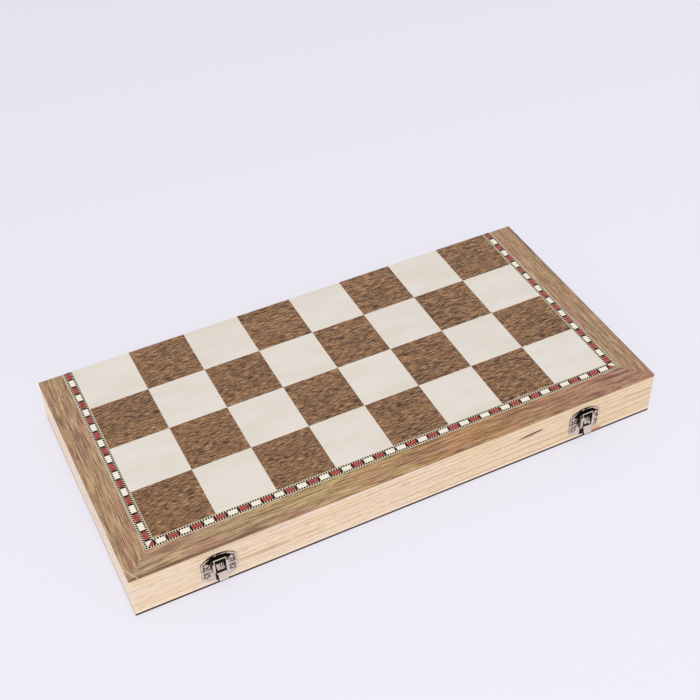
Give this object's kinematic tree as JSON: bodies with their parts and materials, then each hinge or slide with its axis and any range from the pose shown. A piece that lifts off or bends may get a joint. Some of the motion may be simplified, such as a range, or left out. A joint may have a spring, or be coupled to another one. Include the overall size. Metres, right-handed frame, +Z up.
{
  "type": "folding chess set",
  "caption": "Shallow wooden folding box whose two hinged halves open into an inlaid chess board, with front clasps and turned chessmen stored inside.",
  "frame": {"origin": "centre of the closed box's underside, on the surface that it rests on", "axes": "+X along the long edge to the right clasp, -Y to the front edge with the clasps, +Y to the hinged edge, +Z up"},
  "size_m": [0.44, 0.2288, 0.04],
  "materials": {
    "pine": "satin lacquered pale pine, straight grain",
    "panel_edge": "dark stained edge",
    "border_veneer": "satin walnut veneer",
    "inlay_band": "satin banding of cream, red and black wood",
    "light_veneer": "satin maple veneer",
    "dark_veneer": "satin walnut veneer",
    "felt": "green felt",
    "clasp_metal": "antique nickel with dark recesses",
    "hinge_metal": "aged nickel",
    "white_men": "satin lacquered boxwood",
    "black_men": "satin lacquered dark stained wood"
  },
  "bodies": {
    "base": {"base_board_panel": "panel_edge", "base_front_border": "border_veneer", "base_left_border": "border_veneer", "base_right_border": "border_veneer", "base_inlay_band": "inlay_band", "base_front_wall": "pine", "base_back_wall": "pine", "base_left_wall": "pine", "base_right_wall": "pine", "base_felt_lining": "felt", "base_light_squares": "light_veneer", "base_dark_squares": "dark_veneer", "base_clasp_nails": "clasp_metal", "base_hinge_screws": "hinge_metal", "left_hinge_base_leaf": "hinge_metal", "left_hinge_pin": "hinge_metal", "left_clasp_lower_plate": "clasp_metal", "right_hinge_base_leaf": "hinge_metal", "right_hinge_pin": "hinge_metal", "right_clasp_lower_plate": "clasp_metal", "white_king": "white_men", "white_queen": "white_men", "white_bishops": "white_men", "white_knights": "white_men", "white_rooks": "white_men", "white_pawns": "white_men", "black_king": "black_men", "black_queen": "black_men", "black_bishops": "black_men", "black_knights": "black_men", "black_rooks": "black_men", "black_pawns": "black_men"},
    "lid": {"lid_board_panel": "panel_edge", "lid_front_border": "border_veneer", "lid_left_border": "border_veneer", "lid_right_border": "border_veneer", "lid_inlay_band": "inlay_band", "lid_front_wall": "pine", "lid_back_wall": "pine", "lid_left_wall": "pine", "lid_right_wall": "pine", "lid_felt_lining": "felt", "lid_light_squares": "light_veneer", "lid_dark_squares": "dark_veneer", "lid_clasp_nails": "clasp_metal", "lid_hinge_screws": "hinge_metal", "left_hinge_lid_leaf": "hinge_metal", "left_clasp_upper_plate": "clasp_metal", "left_clasp_pin": "clasp_metal", "right_hinge_lid_leaf": "hinge_metal", "right_clasp_upper_plate": "clasp_metal", "right_clasp_pin": "clasp_metal"},
    "left_lever": {"left_clasp_lever": "clasp_metal"},
    "right_lever": {"right_clasp_lever": "clasp_metal"}
  },
  "joints": [
    {"name": "lid_hinge", "type": "hinge", "parent": "base", "child": "lid", "pos_m": [0, 0.11015, 0.02], "axis": [-1, 0, 0], "range_deg": [0, 180]},
    {"name": "left_lever_swing", "type": "hinge", "parent": "lid", "child": "left_lever", "pos_m": [-0.155, -0.1125, 0.0294], "axis": [-1, 0, 0], "range_deg": [0, 100]},
    {"name": "right_lever_swing", "type": "hinge", "parent": "lid", "child": "right_lever", "pos_m": [0.155, -0.1125, 0.0294], "axis": [-1, 0, 0], "range_deg": [0, 100]}
  ]
}
